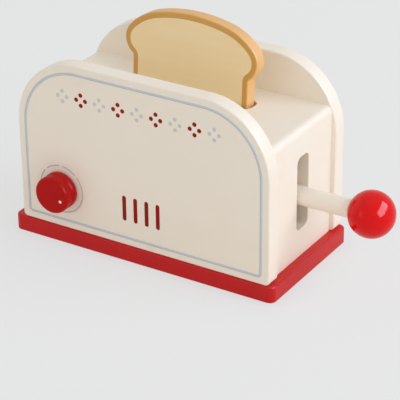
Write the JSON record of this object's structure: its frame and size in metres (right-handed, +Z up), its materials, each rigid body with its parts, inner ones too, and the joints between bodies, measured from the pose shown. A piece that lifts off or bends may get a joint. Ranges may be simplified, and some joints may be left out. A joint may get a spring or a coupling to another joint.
{
  "type": "toy toaster",
  "caption": "Painted wooden toy toaster: a side lever with a ball lifts the slice on an inner platform, and a turned timer knob spins on the front.",
  "frame": {"origin": "on the base's underside, below the middle of the box between the end boards", "axes": "+X along the front towards the lever's ball, +Y from the front board to the back board, +Z up"},
  "size_m": [0.2717, 0.1166, 0.1629],
  "materials": {
    "cream_paint": "smooth satin paint on wood",
    "red_paint": "satin paint on wood",
    "knob_paint": "semi-gloss paint on turned wood",
    "ball_lacquer": "gloss lacquer on turned wood",
    "rod_paint": "thin satin paint on a dowel",
    "toast_paint": "matt paint, darker crust",
    "lift_wood": "thin cream wash on wood",
    "bare_wood": "sanded, unpainted",
    "washer_plastic": "matt",
    "screw_steel": "zinc plated"
  },
  "bodies": {
    "housing": {"base_plate": "red_paint", "front_panel": "cream_paint", "back_panel": "cream_paint", "left_side_panel": "cream_paint", "right_side_panel": "cream_paint", "top_panel": "cream_paint", "left_guide_post": "bare_wood", "right_guide_post": "bare_wood", "side_dowels": "bare_wood", "top_dowels": "bare_wood", "base_screws": "screw_steel", "knob_washer": "washer_plastic"},
    "knob": {"timer_knob": "knob_paint", "knob_axle": "bare_wood", "knob_retainer": "bare_wood"},
    "lever": {"lever_rod": "rod_paint", "lever_ball": "ball_lacquer", "lift_platform": "lift_wood", "lift_screws": "screw_steel", "center_cleat": "lift_wood", "outer_cleats": "lift_wood"},
    "toast": {"toast_slice": "toast_paint"}
  },
  "joints": [
    {"name": "knob_turn", "type": "hinge", "parent": "housing", "child": "knob", "pos_m": [-0.0655, -0.051, 0.0418], "axis": [0, -1, 0], "continuous": true},
    {"name": "lever_slide", "type": "slide", "parent": "housing", "child": "lever", "axis": [0, 0, 1], "range_m": [-0.0175, 0.0201]},
    {"name": "toast_lift", "type": "slide", "parent": "lever", "child": "toast", "axis": [0, 0.0698, 0.9976], "range_m": [0, 0.08]}
  ]
}
